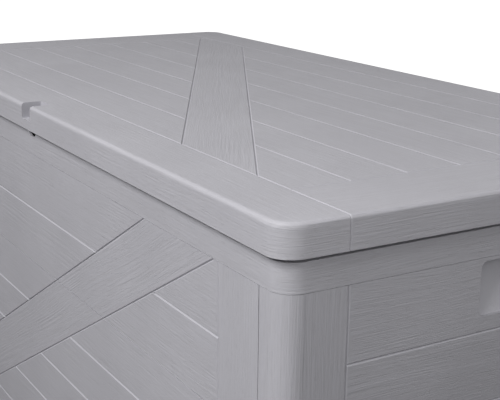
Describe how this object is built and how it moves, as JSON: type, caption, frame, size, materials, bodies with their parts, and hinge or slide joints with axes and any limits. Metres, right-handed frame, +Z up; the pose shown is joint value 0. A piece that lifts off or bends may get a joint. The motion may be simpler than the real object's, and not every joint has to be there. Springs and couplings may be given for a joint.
{
  "type": "deck storage box",
  "caption": "Long outdoor storage box of wood-grain moulded panels with a hinged lid, a padlock recess and handle recesses in both ends.",
  "frame": {"origin": "on the ground, under the middle foot at the centre of the footprint", "axes": "+X along the length to the right seen from the front, -Y is the front, +Z up"},
  "size_m": [1.45, 0.7425, 0.64],
  "materials": {
    "polypropylene": "warm light grey, moulded with a fine wood grain, satin to matte",
    "hinge_nylon": "dark grey, fine moulded texture, matte",
    "galvanised_steel": "galvanised, dull",
    "stainless_steel": "bright turned"
  },
  "bodies": {
    "box": {"base_tray": "polypropylene", "front_panel_lower": "polypropylene", "front_panel_upper": "polypropylene", "back_panel_lower": "polypropylene", "back_panel_upper": "polypropylene", "end_panel_left": "polypropylene", "end_panel_right": "polypropylene", "top_rim": "polypropylene", "hinge_bracket_left": "hinge_nylon", "hinge_bracket_centre": "hinge_nylon", "hinge_bracket_right": "hinge_nylon", "hinge_pin_left": "stainless_steel", "hinge_pin_centre": "stainless_steel", "hinge_pin_right": "stainless_steel", "hinge_bracket_screw_left_a": "stainless_steel", "hinge_bracket_screw_left_b": "stainless_steel", "hinge_bracket_screw_centre_a": "stainless_steel", "hinge_bracket_screw_centre_b": "stainless_steel", "hinge_bracket_screw_right_a": "stainless_steel", "hinge_bracket_screw_right_b": "stainless_steel", "panel_screw_front_left_upper": "stainless_steel", "panel_screw_front_left_middle": "stainless_steel", "panel_screw_front_left_lower": "stainless_steel", "panel_screw_back_left_upper": "stainless_steel", "panel_screw_back_left_middle": "stainless_steel", "panel_screw_back_left_lower": "stainless_steel", "panel_screw_front_right_upper": "stainless_steel", "panel_screw_front_right_middle": "stainless_steel", "panel_screw_front_right_lower": "stainless_steel", "panel_screw_back_right_upper": "stainless_steel", "panel_screw_back_right_middle": "stainless_steel", "panel_screw_back_right_lower": "stainless_steel"},
    "lid": {"lid": "polypropylene", "lid_stiffener_front": "galvanised_steel", "lid_stiffener_back": "galvanised_steel", "hinge_arm_left": "hinge_nylon", "hinge_arm_centre": "hinge_nylon", "hinge_arm_right": "hinge_nylon", "hinge_arm_screw_left_a": "stainless_steel", "hinge_arm_screw_left_b": "stainless_steel", "hinge_arm_screw_centre_a": "stainless_steel", "hinge_arm_screw_centre_b": "stainless_steel", "hinge_arm_screw_right_a": "stainless_steel", "hinge_arm_screw_right_b": "stainless_steel"}
  },
  "joints": [
    {"name": "lid_hinge", "type": "hinge", "parent": "box", "child": "lid", "pos_m": [0, 0.3665, 0.596], "axis": [-1, 0, 0], "range_deg": [0, 100]}
  ]
}
